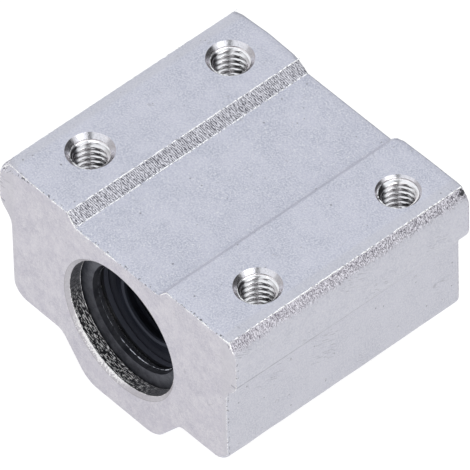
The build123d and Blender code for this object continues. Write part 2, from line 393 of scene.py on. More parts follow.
def edge_burr(path, outward, fullness, seed):
    """Points, quads and end caps of an uneven bead along an edge, the way a cut edge is turned up.

    Around each place on the path it is an ellipse, path + outward * h * cos(a) + across * w * sin(a), and
    the noise that sets its height and width along the path also lets it sink out of sight.
    """
    tangent = np.gradient(path, axis=0)
    tangent /= np.linalg.norm(tangent, axis=1, keepdims=True)
    across = np.cross(tangent, outward)
    size = fullness * (1 + 0.9 * smooth_noise(path, 0.6, seed) + 0.9 * smooth_noise(path, 0.19, seed + 1))
    size = np.clip(size, 0.02, 1.3)[:, None, None]
    sway = smooth_noise(path, 0.25, seed + 2)[:, None, None] * burr_width * 0.4 * np.minimum(size, 1)
    angle = full_turn(burr_columns)[None, :, None]
    up = outward[:, None, :] * burr_height * size * (np.cos(angle) - 0.15)
    along_side = across[:, None, :] * (burr_width * size * np.sin(angle) + sway)
    place = path[:, None, :] + up + along_side
    return place.reshape(-1, 3), *tube_faces(place)


def make_burrs(name, edges, material, seed):
    """One piece of beads along several edges, each given as points, outward directions and fullness."""
    points, quads, caps, count = [], [], [], 0
    for number, edge in enumerate(edges):
        places, faces, ends = edge_burr(*edge, seed + 10 * number)
        points.append(places)
        quads.append(faces + count)
        caps += [end + count for end in ends]
        count += len(places)
    piece = make_piece(name, np.concatenate(points), np.concatenate(quads), caps)
    turn_outwards(piece)
    piece.data.materials.append(material)
    piece.data.shade_smooth()
    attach(piece, "root")


def turn_outwards(piece):
    """Recalculates the faces of closed surfaces so that they point outwards."""
    shape = bmesh.new()
    shape.from_mesh(piece.data)
    bmesh.ops.recalc_face_normals(shape, faces=shape.faces)
    shape.to_mesh(piece.data)
    shape.free()


def long_edge(x, z, leaning, fullness):
    """An edge along Y: its points, its outward direction so many degrees from +Z, and its fullness."""
    along = np.arange(-block_end + end_edge_break, block_end - end_edge_break, burr_step)
    path = np.stack([np.full(len(along), x), along, np.full(len(along), z)], -1)
    lean = math.radians(leaning)
    return path, np.broadcast_to([math.sin(lean), 0, math.cos(lean)], path.shape), fullness


def end_edge(end, fullness, channel_fullness, side_fullness):
    """The edge of one end from the left flange over the pads and down the right side."""
    outline, normals, _, _ = rounded_outline(profile_corners())
    radii = end_radii(outline, end)
    first = np.argmin(np.hypot(outline[:, 0] + side, outline[:, 1] - (pad_height - neck_start)))
    order = np.r_[first:len(outline), 0:first]
    keep = order[(outline[order, 1] > boss_z + 5.5) & (np.arange(len(order)) < len(order) * 0.7)]
    outline, normals, radii = outline[keep], normals[keep], radii[keep]
    distance = travelled(outline)
    along = np.arange(0, distance[-1], burr_step)
    columns = np.column_stack([outline, normals, radii]).T
    x, z, out_x, out_z, radius = (np.interp(along, distance, column) for column in columns)
    full = np.full(len(along), fullness)
    full[np.abs(x + channel_top_width / 2 - 0.5) < 0.7] = channel_fullness
    full[(x > 0) & (z < pad_height - shoulder_drop * 0.6)] = side_fullness
    full[np.hypot(x - side + shoulder_width, z - pad_height) < 1.2] = channel_fullness
    inset = 0.3 * radius
    path = np.stack([x - out_x * inset, end * (block_end - inset), z - out_z * inset], -1)
    outward = np.stack([out_x, np.full(len(along), end), out_z], -1)
    return path, outward / np.linalg.norm(outward, axis=1, keepdims=True), full


def bore_edge(y, radius, brightest, plain_fullness, extra_fullness):
    """A circle about the shaft's axis: fuller near one angle, by cos(angle from it) ** 4."""
    angle = np.arange(0, 2 * math.pi, burr_step / radius)
    spokes = np.stack([np.cos(angle), 0 * angle, np.sin(angle)], -1)
    path = spokes * radius + [0, y, 0]
    near = np.clip(np.cos(angle - math.radians(brightest)), 0, 1) ** 4
    outward = -spokes + [0, math.copysign(1, y), 0]
    return path, outward / math.sqrt(2), plain_fullness + extra_fullness * near


def hole_edge(x, y, sink):
    """The sharp edge between a countersink and its thread, fullest at the front."""
    radius = thread_major_radius - 0.04
    angle = np.arange(0, 2 * math.pi, burr_step / radius)
    spokes = np.stack([np.cos(angle), np.sin(angle), 0 * angle], -1)
    path = spokes * radius + [x, y, pad_height - sink + radius]
    near = np.clip(np.cos(angle - math.radians(hole_angle)), 0, 1) ** 2
    return path, np.broadcast_to([0.0, 0.0, 1.0], path.shape), 0.1 + 0.9 * near


def add_burrs(material, seal_highlight):
    """Turned-up edges: beside the rough slopes, round both ends, the bore's mouths and the holes."""
    channel_top, channel_floor = channel_top_width / 2, channel_floor_width / 2
    shoulder = side - shoulder_width
    mouth_y = block_end - bore_mouth_chamfer
    groove_y = bearing_end + circlip_groove_width + groove_edge_break
    seal_highlight_y = bearing_end + seal_highlight_offset
    beads = {
        "channel_slope_burrs": (100, [
            long_edge(-channel_top + 0.02, pad_height - 0.02, 20, 1.1),
            long_edge(-channel_floor + 0.03, pad_height - channel_depth + 0.03, 20, 1.1),
        ]),
        "shoulder_burrs": (200, [
            long_edge(shoulder, pad_height - 0.02, 20, 1.2),
            long_edge(-shoulder, pad_height - 0.03, -30, 0.55),
        ]),
        "front_edge_burrs": (400, [end_edge(-1, 0.85, 1.3, 0.22)]),
        "rear_edge_burrs": (500, [end_edge(1, 0.15, 0.3, 0.2)]),
        "bore_edge_burrs": (600, [
            bore_edge(-mouth_y, bore_radius + 0.02, bore_glint_angle, 0.3, 0.9),
            bore_edge(-groove_y, bore_radius, groove_angle, 0.05, 0.42),
            bore_edge(mouth_y, bore_radius + 0.02, bore_glint_angle, 0.3, 0.9),
            bore_edge(groove_y, bore_radius, groove_angle, 0.05, 0.42),
        ]),
        "hole_edge_burrs": (700, [hole_edge(*hole) for hole in hole_places]),
    }
    for name, (seed, edges) in beads.items():
        make_burrs(name, edges, material, seed)
    # Painted highlight: pale beads along the seal's edge
    lips = [bore_edge(y, circlip_inner_radius - 0.02, seal_highlight_angle, 0.1, 0.7) for y in (-seal_highlight_y, seal_highlight_y)]
    make_burrs("seal_highlight_beads", lips, seal_highlight, 800)


def bore_cutter():
    """A turned cutter about Y: its radius is a function of the place along Y."""
    groove = bore_radius + circlip_groove_depth
    groove_end = bearing_end + circlip_groove_width
    mouth = bore_radius + bore_mouth_chamfer
    half = [
        (0.0, bore_radius),
        (bearing_end, bore_radius),
        (bearing_end, groove),
        (groove_end, groove),
        (groove_end, bore_radius + groove_edge_break),
        (groove_end + groove_edge_break, bore_radius),
        (block_end - bore_mouth_chamfer, bore_radius),
        (block_end, mouth),
        (block_end + overcut, mouth),
    ]
    along, radius = np.array([(-y, r) for y, r in half[:0:-1]] + half).T[..., None]
    angle = full_turn(bore_columns)[None, :]
    place = np.stack([radius * np.cos(angle), along + 0 * angle, radius * np.sin(angle)], -1)
    return make_piece("bore_cutter", place, *tube_faces(place, turned=True))


def hole_cutter(x, y, countersink_radius):
    """A tapped hole's cutter: its radius is a function of the angle and the depth, plain at first.

    The thread's radius is the mean of the major and the minor one plus cos(2 pi phase) times half their
    difference, with the phase going round with the angle. The countersink's 45 degree cone widens it at
    the top. Deep down, where nobody sees them, the rows lie twice as far apart.
    """
    row_step = thread_pitch / thread_rows_per_pitch
    seen = np.arange(0, seen_thread_depth, row_step)
    unseen = np.arange(seen_thread_depth, thread_depth, 2 * row_step)
    below = [thread_depth, thread_depth + 0.2, ledge_depth + overcut]
    depth = np.concatenate([[-overcut], seen, unseen, below])[:, None]
    angle = full_turn(hole_columns)[None, :]
    phase = (depth / thread_pitch - angle / (2 * math.pi)) % 1
    wave = np.clip(1.15 * np.cos(2 * math.pi * phase), -1, 1)
    cut = (thread_major_radius + thread_minor_radius + (thread_major_radius - thread_minor_radius) * wave) / 2
    cut = np.where(depth >= thread_depth, clearance_radius, cut)
    cut = np.where(depth < countersink_radius - thread_major_radius + plain_depth, thread_major_radius, cut)
    cone = countersink_radius - np.maximum(depth, 0)
    radius = np.where(depth < 0, countersink_radius, np.maximum(cut, cone))
    z = pad_height - depth + 0 * angle
    place = np.stack([x + radius * np.cos(angle), y + radius * np.sin(angle), z], -1)
    return make_piece("hole_cutter", place, *tube_faces(place, turned=True))


def cut_away(body, cutters):
    """Subtracts the closed cutters from the body for good."""
    for cutter in cutters:
        modifier = body.modifiers.new("cut", "BOOLEAN")
        modifier.operation = "DIFFERENCE"
        modifier.solver = "MANIFOLD"
        modifier.object = cutter
    bpy.context.view_layer.update()
    finished = bpy.data.meshes.new_from_object(body.evaluated_get(bpy.context.evaluated_depsgraph_get()))
    body.modifiers.clear()
    body.data = finished
    for cutter in cutters:
        bpy.data.objects.remove(cutter)


class Wiring:
    """Adds nodes to one shader tree, which starts empty."""

    def __init__(self, tree):
        self.tree = tree
        tree.nodes.clear()

    def give(self, socket, value):
        """Links an input to another socket, or sets it. A plain colour gets its alpha here."""
        if isinstance(value, bpy.types.NodeSocket):
            self.tree.links.new(value, socket)
        else:
            socket.default_value = (*value, 1.0) if socket.type == "RGBA" else value

    def node(self, kind, inputs=None, **settings):
        """A new node with its settings and inputs."""
        made = self.tree.nodes.new("ShaderNode" + kind)
        for name, value in settings.items():
            setattr(made, name, value)
        for name, value in (inputs or {}).items():
            self.give(made.inputs[name], value)
        return made

    def maths(self, operation, *values):
        """The result of a maths node."""
        return self.node("Math", dict(enumerate(values)), operation=operation).outputs[0]

    def line(self, value, slope, start):
        """The value times the slope, plus the start."""
        return self.maths("MULTIPLY_ADD", value, slope, start)

    def product(self, first, *others):
        """Several values multiplied together."""
        for value in others:
            first = self.maths("MULTIPLY", first, value)
        return first

    def ramp(self, value, low, high, to_low=0.0, to_high=1.0):
        """The value from low..high mapped smoothly to the new range."""
        inputs = {"Value": value, "From Min": low, "From Max": high, "To Min": to_low, "To Max": to_high}
        return self.node("MapRange", inputs, interpolation_type="SMOOTHSTEP").outputs[0]

    def fade(self, value, low, high):
        """1 up to low, then smoothly down to 0 at high."""
        return self.ramp(value, low, high, 1.0, 0.0)

    def near_angle(self, angle, degrees, low, high):
        """1 near an angle about the axis, fading out where the cosine of the gap falls from high to low."""
        gap = self.maths("SUBTRACT", angle, math.radians(degrees))
        return self.ramp(self.maths("COSINE", gap), low, high)

    def blend(self, factor, first, second):
        """First colour turning into the second as the factor rises from 0 to 1."""
        return self.node("Mix", {0: factor, 6: first, 7: second}, data_type="RGBA").outputs[2]

    def layered(self, tone, *layers):
        """The tone with colours laid over it in turn, each as strong as its mask."""
        for mask, colour in layers:
            tone = self.blend(mask, tone, colour)
        return tone

    def noise(self, vector, scale=1.0, detail=1.0, roughness=0.5):
        """Noise from 0 to 1."""
        inputs = {"Vector": vector, "Scale": scale, "Detail": detail, "Roughness": roughness}
        return self.node("TexNoise", inputs).outputs[0]

    def mapped(self, vector, scale, turn=(0.0, 0.0, 0.0), kind="POINT"):
        """The vector scaled along each axis and turned. A TEXTURE has its scale as the pattern's size."""
        inputs = {"Vector": vector, "Rotation": turn, "Scale": scale}
        return self.node("Mapping", inputs, vector_type=kind).outputs[0]

    def scaled(self, vector, size, shift=0.0):
        """The vector in units of the given size, shifted by so many of them."""
        over = self.maths("DIVIDE", 1.0, size)
        units = self.node("VectorMath", {0: vector, "Scale": over}, operation="SCALE").outputs[0]
        return self.node("VectorMath", {0: units, 1: (shift,) * 3}, operation="ADD").outputs[0]


def new_group(name, numbers, outputs):
    """A shader group's wiring, and the sockets of what it is given and what it puts out.

    It is given a vector and the named numbers, and puts out the named values.
    """
    tree = bpy.data.node_groups.new(name, "ShaderNodeTree")
    tree.interface.new_socket("Vector", in_out="INPUT", socket_type="NodeSocketVector")
    for label, default in numbers.items():
        socket = tree.interface.new_socket(label, in_out="INPUT", socket_type="NodeSocketFloat")
        socket.default_value = default
    for label in outputs:
        tree.interface.new_socket(label, in_out="OUTPUT", socket_type="NodeSocketFloat")
    return Wiring(tree), tree.nodes.new("NodeGroupInput").outputs, tree.nodes.new("NodeGroupOutput").inputs


def grain_group():
    """Blasted grain: its height, sparse bright specks that paint its glints, and slow mottling over it."""
    group, given, out = new_group("blasted_grain", {"Size": 0.0002}, ["Height", "Glint Specks", "Mottle"])
    fine, other, slow = (group.scaled(given["Vector"], given["Size"], shift) for shift in (0.0, 17.3, 5.1))
    group.give(out["Height"], group.noise(fine, 1.0, 2.0, 0.6))
    group.give(out["Glint Specks"], group.ramp(group.noise(other, 1.3), 0.62, 0.72))
    group.give(out["Mottle"], group.ramp(group.noise(slow, 0.07, 4.0, 0.65), 0.3, 0.7))
    return group.tree


def marks_group():
    """Handling marks: round pits a few spacings apart, and fine curved scratches."""
    numbers = {"Spacing": 0.002, "Pit Share": 0.3, "Scratch Width": 0.006}
    group, given, out = new_group("handling_marks", numbers, ["Pits", "Scratches"])
    placed = group.scaled(given["Vector"], given["Spacing"])
    wobble = group.node("TexNoise", {"Vector": placed, "Scale": 6.0, "Detail": 1.0}).outputs["Color"]
    shift = group.node("VectorMath", {0: wobble, "Scale": 0.12}, operation="SCALE").outputs[0]
    bent = group.node("VectorMath", {0: placed, 1: shift}, operation="ADD").outputs[0]
    cells = group.node("TexVoronoi", {"Vector": bent, "Scale": 1.0}).outputs
    picked = group.node("SeparateColor", {0: cells["Color"]}).outputs
    chosen = group.maths("LESS_THAN", picked[0], given["Pit Share"])
    inside = group.maths("SUBTRACT", group.ramp(picked[1], 0.0, 1.0, 0.03, 0.1), cells["Distance"])
    group.give(out["Pits"], group.product(group.ramp(inside, 0.0, 0.02), chosen))
    line = group.maths("ABSOLUTE", group.maths("SUBTRACT", group.noise(placed, 0.45, 0.0), 0.5))
    near = group.maths("SUBTRACT", given["Scratch Width"], line)
    kept = group.ramp(group.noise(bent, 0.9), 0.55, 0.62)
    group.give(out["Scratches"], group.product(group.ramp(near, 0.0, 0.003), kept))
    return group.tree


class Surface(Wiring):
    """A new material's wiring: its shader, the object's coordinates and grain of one size."""

    def __init__(self, name, grain, grain_size, metallic=0.0):
        self.material = bpy.data.materials.new(name)
        self.material.use_nodes = True
        super().__init__(self.material.node_tree)
        self.shader = self.node("BsdfPrincipled", {"Metallic": metallic})
        self.node("OutputMaterial", {"Surface": self.shader.outputs[0]})
        self.place = self.node("TexCoord").outputs["Object"]
        self.height, self.specks, self.mottle = self.placed(grain, {"Size": grain_size})

    def placed(self, group, numbers):
        """What a shader group puts out at the object's coordinates."""
        return self.node("Group", {"Vector": self.place, **numbers}, node_tree=group).outputs

    def axes(self):
        """The place on the object along X, Y and Z, in metres."""
        return self.node("SeparateXYZ", {0: self.place}).outputs

    def round_the_axis(self):
        """A place's distance from the shaft's axis, its angle, and how far along the axis it is, in mm."""
        x, y, z = (self.product(part, 1 / MM) for part in self.axes())
        square = self.maths("ADD", self.product(x, x), self.product(z, z))
        return self.maths("SQRT", square), self.maths("ARCTAN2", z, x), y

    def finish(self, tone, in_hollows, on_crests, depth=0.0, relief=None):
        """The material with its tone, its roughness from the grain's hollows to its crests, and its relief.

        The relief is so many metres deep, and the grain's own unless another is given.
        """
        self.give(self.shader.inputs["Base Color"], tone)
        roughness = self.ramp(self.height, 0.2, 0.8, in_hollows, on_crests)
        self.give(self.shader.inputs["Roughness"], roughness)
        if depth:
            raised = self.height if relief is None else relief
            bump = self.node("Bump", {"Height": raised, "Distance": depth, "Strength": 1.0})
            self.give(self.shader.inputs["Normal"], bump.outputs[0])
        return self.material


def plain_tone(skin, marks, worn, knocks):
    """Tone of the skin where it isn't torn: cool grey with grain, painted glint specks and slow mottling.

    The ends are smoother and the sides paler. On top lie the sides' knocks, pits, scratches, the dark
    nicks along the rims, painted shade along the rear rims, the sides' leaning scuffs, and a painted
    shade line along both flanges where they turn under.
    """
    x, y, z = skin.axes()
    out_from_middle = skin.maths("ABSOLUTE", x)
    from_end = skin.maths("SUBTRACT", block_end * MM, skin.maths("ABSOLUTE", y))
    on_end = skin.fade(from_end, 0.00001, 0.00005)
    at_rear = skin.maths("GREATER_THAN", y, 0.0)
    on_top = skin.maths("GREATER_THAN", z, (pad_height - shoulder_drop - 0.5) * MM)
    on_right = skin.maths("GREATER_THAN", x, right_side * MM)
    on_side = skin.ramp(out_from_middle, (body_side - 0.9) * MM, (body_side - 0.3) * MM)
    on_flange = skin.maths("GREATER_THAN", out_from_middle, (side - flange_overhang / 2) * MM)
    rim = skin.fade(skin.line(at_rear, 0.00015, from_end), 0.0002, 0.0004)
    seen_rim = skin.maths("MAXIMUM", on_top, on_right)
    rim = skin.product(rim, seen_rim, skin.maths("SUBTRACT", 1.0, on_end))
    patches = skin.ramp(skin.noise(skin.place, 900.0, 5.0, 0.7), 0.34, 0.66)
    knocked = skin.placed(marks, {"Spacing": 0.003, "Pit Share": 0.5, "Scratch Width": 0.001})
    hit = skin.maths("MAXIMUM", knocked["Pits"], knocked["Scratches"])
    scuff = [size * MM for size in scuff_size]
    leaning = skin.mapped(skin.place, scuff, (math.radians(scuff_lean), 0.0, 0.0), "TEXTURE")
    streaks = skin.ramp(skin.noise(leaning), 0.6, 0.66)
    rubbed = skin.ramp(skin.noise(skin.place, 190.0), 0.58, 0.66)
    # Painted shade: a thin dark line where the flanges' sides turn under, broken up by noise
    shade_line_place = skin.line(y, shade_line_slope, shade_line_height * MM)
    from_shade_line = skin.maths("ABSOLUTE", skin.maths("SUBTRACT", z, shade_line_place))
    patchy = skin.ramp(skin.noise(skin.place, 900.0, 2.0), 0.3, 0.6, 0.25, 0.6)
    return skin.layered(
        skin.blend(skin.mottle, (0.50, 0.515, 0.61), (0.62, 0.625, 0.72)),
        (skin.ramp(skin.height, 0.35, 0.68), (0.705, 0.71, 0.78)),
        # Painted glints: the grain's bright specks
        (skin.specks, (0.82, 0.82, 0.86)),
        (skin.product(on_end, 0.5), skin.blend(patches, (0.56, 0.525, 0.572), (0.738, 0.705, 0.722))),
        (skin.product(on_side, 0.45), (0.62, 0.615, 0.655)),
        (skin.product(hit, on_side, 0.35), (0.28, 0.28, 0.32)),
        (skin.product(worn["Pits"], 0.7), (0.22, 0.22, 0.25)),
        (skin.product(worn["Scratches"], 0.35), (0.38, 0.38, 0.41)),
        (skin.product(rim, skin.ramp(knocks, 0.6, 0.66)), (0.2, 0.2, 0.22)),
        # Painted shade: the rear rims darker
        (skin.product(rim, at_rear, 0.4), (0.3, 0.3, 0.33)),
        (skin.product(streaks, rubbed, on_side, 0.45), (0.3, 0.3, 0.34)),
        (skin.product(skin.fade(from_shade_line, 0.00005, 0.00016), on_flange, patchy), (0.25, 0.25, 0.31)),
    )


def torn_skin(skin):
    """Ridges of the torn slopes, from 0 to 1, and their tone: painted shade in the hollows and painted
    highlight on the crests.

    They are strokes, sin(2 pi place / stroke_spacing + wander), broken up by noise. On the channel's
    slope they lean, and on the right shoulder they are more unruly, and paler towards the front.
    """
    x, y, z = skin.axes()
    on_right = skin.maths("GREATER_THAN", x, right_side * MM)
    leant = skin.line(skin.maths("MINIMUM", x, 0.0), -stroke_lean, y)
    sheared = skin.node("CombineXYZ", {0: x, 1: leant, 2: z}).outputs[0]
    wander = skin.noise(skin.mapped(sheared, (2600.0, 4500.0, 2600.0)))
    wander = skin.product(wander, skin.line(on_right, 14.0, 12.0))
    phase = skin.line(leant, 2 * math.pi / (stroke_spacing * MM), wander)
    strokes = skin.line(skin.maths("SINE", phase), 0.5, 0.5)
    gaps = skin.noise(skin.mapped(sheared, (4200.0, 9500.0, 4200.0)))
    ridges = skin.line(strokes, 0.4, skin.product(gaps, 0.6))
    toward_front = skin.product(on_right, skin.fade(y, -0.01, 0.008))
    # Painted shade in the hollows of the strokes and painted highlight on their crests
    hollows = skin.blend(on_right, (0.17, 0.167, 0.2), (0.17, 0.16, 0.195))
    hollows = skin.blend(toward_front, hollows, (0.27, 0.25, 0.3))
    crests = skin.blend(on_right, (0.88, 0.88, 0.94), (0.88, 0.86, 0.93))
    lowest = skin.line(on_right, -0.05, 0.4)
    highest = skin.line(on_right, 0.06, 0.53)
    return ridges, skin.blend(skin.ramp(ridges, lowest, highest), hollows, crests)


def housing_aluminium(grain, marks):
    """Blasted and handled aluminium, torn open where the attribute torn is 1, with a nick's painted shadow at
    one corner.
    """
    skin = Surface("housing_aluminium_skin", grain, 0.00018, 0.35)
    worn = skin.placed(marks, {"Spacing": 0.0011, "Pit Share": 0.6})
    torn = skin.node("Attribute", attribute_name="torn").outputs["Fac"]
    knocks = skin.noise(skin.place, 3300.0)
    ridges, torn_tone_and_shading = torn_skin(skin)
    # Painted shadow: a near-black spot at the nick
    nick_shadow = [place * MM for place in nick_shadow_place]
    from_nick_shadow = skin.node("VectorMath", {0: skin.place, 1: nick_shadow}, operation="DISTANCE").outputs["Value"]
    from_nick_shadow = skin.line(knocks, 0.0012, from_nick_shadow)
    tone = skin.layered(
        plain_tone(skin, marks, worn, knocks),
        (torn, torn_tone_and_shading),
        (skin.ramp(from_nick_shadow, 0.0008, 0.001, 0.95, 0.0), (0.03, 0.03, 0.035)),
    )
    pitted = skin.product(skin.maths("SUBTRACT", skin.height, worn["Pits"]), 0.2)
    relief = skin.maths("ADD", pitted, skin.product(torn, skin.product(ridges, 0.4)))
    return skin.finish(tone, 0.6, 0.42, 0.00009, relief)


def bare_burr(grain):
    """Bright bare metal of the turned-up edges."""
    burr = Surface("bare_burr", grain, 0.0002, 0.6)
    tone = burr.blend(burr.ramp(burr.height, 0.3, 0.6), (0.97, 0.97, 0.98), white)
    return burr.finish(tone, 0.2, 0.35)


def bored_aluminium(grain):
    """Bored wall: two crossing families of drawn-out tool marks over dark painted shade, darkest on one
    side, where the marks' bright flecks are painted glints.
    """
    wall = Surface("bored_aluminium", grain, 0.00014)
    _, angle, along = wall.round_the_axis()
    unrolled = wall.node("CombineXYZ", {0: wall.product(angle, bearing_radius), 1: along}).outputs[0]
    hatch, drawn = (
        wall.noise(wall.mapped(unrolled, (length, width, 1.0), (0.0, 0.0, math.radians(lean)), "TEXTURE"))
        for lean, length, width in ((104.0, 0.5, 0.085), (8.0, 0.55, 0.11))
    )
    # Painted shade, darkest on the low side, with painted white glints there
    low_down = wall.near_angle(angle, bore_glint_angle, 0.35, 0.97)
    glint_flecks = wall.product(wall.ramp(drawn, 0.545, 0.555), wall.ramp(hatch, 0.4, 0.43), low_down)
    wall.give(wall.shader.inputs["Metallic"], wall.line(glint_flecks, -0.2, 0.2))
    tone = wall.layered(
        wall.blend(wall.ramp(hatch, 0.4, 0.62), (0.06, 0.06, 0.068), (0.24, 0.24, 0.26)),
        (wall.product(low_down, 0.9), (0.012, 0.012, 0.015)),
        (glint_flecks, white),
    )
    return wall.finish(tone, 0.45, 0.3, 0.00003, wall.maths("MAXIMUM", hatch, drawn))


def turned_mouth(grain):
    """Turned chamfer of the bore's mouths: face grey, a darker outer line, a painted highlight on one side.
    """
    mouth = Surface("turned_mouth", grain, 0.0002, 0.3)
    radius, angle, _ = mouth.round_the_axis()
    from_rim = mouth.maths("SUBTRACT", bore_radius + bore_mouth_chamfer, radius)
    ragged = mouth.line(mouth.noise(mouth.place, 4600.0, 3.0), 1.2, from_rim)
    # Painted highlight: white on one side of the chamfer, ragged at its edge
    mouth_highlight = mouth.near_angle(angle, mouth_highlight_angle, 0.78, 0.93)
    tone = mouth.layered(
        mouth.blend(mouth.height, (0.5, 0.49, 0.525), (0.72, 0.7, 0.74)),
        (mouth.ramp(from_rim, 0.0, 0.09, 0.4, 0.0), (0.3, 0.3, 0.32)),
        (mouth.product(mouth_highlight, mouth.ramp(ragged, 0.7, 0.9)), white),
    )
    return mouth.finish(tone, 0.5, 0.35, 0.00001)


def threaded_aluminium(grain):
    """Cut aluminium of the threads, with painted shade where the attribute crest_light is low."""
    thread = Surface("cut_aluminium", grain, 0.0003, 0.9)
    bright = thread.blend(thread.mottle, (0.9, 0.875, 0.89), (1.0, 0.98, 0.99))
    crest_light = thread.node("Attribute", attribute_name="crest_light").outputs["Fac"]
    tone = thread.blend(thread.ramp(crest_light, 0.05, 0.9), (0.1, 0.1, 0.11), bright)
    return thread.finish(tone, 0.12, 0.22, 0.000004)


def countersunk_aluminium(grain):
    """Turned cones of the countersinks: greyer than the threads, with a fine broken sheen."""
    cone = Surface("countersunk_aluminium", grain, 0.0002, 0.95)
    tone = cone.blend(cone.height, (0.6, 0.59, 0.63), (0.95, 0.93, 0.97))
    return cone.finish(tone, 0.14, 0.26, 0.000008)


def grained(name, grain, dark, light, roughness, metallic=1.0, grain_size=0.00025):
    """A steel or a plastic with a faint grain in its tone and its gloss."""
    plain = Surface(name, grain, grain_size, metallic)
    tone = plain.blend(plain.mottle, dark, light)
    return plain.finish(tone, roughness * 0.8, roughness * 1.2, 0.000004)


def blackened_steel(grain):
    """Blackened steel of the snap rings, paler on their inner walls."""
    ring = Surface("blackened_steel", grain, 0.00025, 0.2)
    _, _, along = ring.round_the_axis()
    tone = ring.layered(
        ring.blend(ring.mottle, (0.016, 0.018, 0.025), (0.026, 0.029, 0.038)),
        (ring.fade(ring.maths("ABSOLUTE", along), *paler_ring_reach), (0.1, 0.108, 0.14)),
    )
    return ring.finish(tone, 0.45, 0.6)


def rubber(grain):
    """Black rubber: oiled, worn at the lip, with painted fill light on its shaded outside and back."""
    seal = Surface("oiled_rubber", grain, 0.0002)
    seal.shader.inputs["Specular IOR Level"].default_value = 0.12
    radius, _, along = seal.round_the_axis()
    tone = seal.layered(
        seal.blend(seal.mottle, (0.014, 0.016, 0.024), (0.022, 0.025, 0.036)),
        (seal.fade(radius, *worn_lip_radius), (0.04, 0.045, 0.062)),
        # Painted fill light lifting the seal's shaded outside and back
        (seal.ramp(radius, *seal_fill_radius), (0.03, 0.033, 0.045)),
        (seal.fade(seal.maths("ABSOLUTE", along), *seal_fill_reach), (0.055, 0.06, 0.082)),
    )
    return seal.finish(tone, 0.35, 0.5, 0.000006)


def painted_seal_highlight(grain):
    """Pale beads along the seal's edge that paint its highlight."""
    seal_highlight = Surface("painted_seal_highlight", grain, 0.0003)
    tone = seal_highlight.blend(seal_highlight.ramp(seal_highlight.height, 0.35, 0.6), (0.05, 0.052, 0.065), (0.8, 0.85, 0.95))
    return seal_highlight.finish(tone, 0.6, 0.5)


def mark_surface(mesh):
    """Writes two masks for the materials, each worked out from where a corner of the mesh is.

    torn is 1 down a rough slope, with a frayed lower edge on the shoulders. crest_light is painted shade
    for the threads: 0.58 at a root, 1 at a crest and on the countersinks, lower on one side, 0.2 deep down.
    """
    place = read(mesh.vertices, "co", 3) / MM
    x, y, z = place.T
    down_channel = (x + channel_top_width / 2) / ((channel_top_width - channel_floor_width) / 2)
    beside_channel = (z > pad_height - channel_depth - 0.05) & (z < pad_height + 0.1)
    down_channel = np.where(beside_channel, down_channel, -1)
    down_shoulder = (np.abs(x) - side + shoulder_width) / shoulder_width
    down_shoulder = np.where(z > pad_height - shoulder_drop - 0.4, down_shoulder, -1)
    depth = np.maximum(down_shoulder, 0) * 0.6 + (pad_height - z) / shoulder_drop * 0.4
    fray = 0.14 * smooth_noise(place, (0.3, 0.3, 0.3), 21) + 0.12 * smooth_noise(place, (0.1, 0.14, 0.1), 22)
    torn_channel = np.clip(down_channel / 0.06, 0, 1) * np.clip((1 - down_channel) / 0.06, 0, 1)
    torn_shoulder = np.clip(down_shoulder / 0.06, 0, 1) * np.clip((0.86 + fray - depth) / 0.3, 0, 1)
    torn = np.maximum(torn_channel, torn_shoulder) * np.clip((block_end - np.abs(y)) / 0.05, 0, 1)
    places = np.array(hole_places)
    from_holes = np.hypot(x - places[:, :1], y - places[:, 1:2])
    radius = from_holes.min(axis=0)
    hole_x, hole_y, countersink = places[from_holes.argmin(axis=0)].T
    # Painted shade of the threads: dark roots, one darker side of each hole, and dark depths
    crest_light = np.clip((thread_major_radius - radius) / (thread_major_radius - thread_minor_radius), 0, 1)
    on_cone = pad_height - z < countersink - thread_major_radius + plain_depth + 0.02
    crest_light = np.where(on_cone, 1.0, 0.58 + 0.42 * crest_light)
    toward = np.arctan2(y - hole_y, x - hole_x) - math.radians(thread_shade_angle)
    crest_light = crest_light * (1 - 0.75 * np.clip((np.cos(toward) - 0.5) / 0.15, 0, 1))
    crest_light = np.where(radius > thread_major_radius + 0.005, 1.0, crest_light)
    crest_light = np.where(z < pad_height - thread_depth, 0.2, crest_light)
    for name, values in (("torn", torn), ("crest_light", crest_light)):
        mesh.attributes.new(name, "FLOAT", "POINT").data.foreach_set("value", values.astype(np.float32))


def face_materials(mesh):
    """Each face's material: 0 skin, 1 bored wall, 2 its turned mouth, 3 thread, 4 countersink."""
    x, y, z = read(mesh.polygons, "center", 3).T / MM
    in_bore = (np.hypot(x, z) < bore_radius + bore_mouth_chamfer - 0.005) & (np.abs(y) < block_end - 0.005)
    index = np.where(in_bore, 1, 0)
    index[in_bore & (np.abs(y) > block_end - bore_mouth_chamfer)] = 2
    in_pad = (z < pad_height - 0.005) & (z > pad_height - ledge_depth + 0.005)
    for hole_x, hole_y, countersink in hole_places:
        from_hole = np.hypot(x - hole_x, y - hole_y)
        inside = (from_hole < countersink - 0.005) & in_pad
        index[inside] = 3
        index[inside & (from_hole > thread_major_radius + 0.005)] = 4
    return index.astype(np.int32)


def make_housing(grain, marks):
    """The housing: its rough-sloped body with the bore and the four tapped holes cut in it."""
    body = housing_body()
    cut_away(body, [bore_cutter(), *[hole_cutter(*hole) for hole in hole_places]])
    mesh = body.data
    mesh.materials.clear()
    mesh.materials.append(housing_aluminium(grain, marks))
    for finish in (bored_aluminium, turned_mouth, threaded_aluminium, countersunk_aluminium):
        mesh.materials.append(finish(grain))
    mesh.polygons.foreach_set("material_index", face_materials(mesh))
    mark_surface(mesh)
    shade(body, 32.0)
    sharpen_end_faces(mesh)
    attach(body, "root")
    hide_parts("housing")


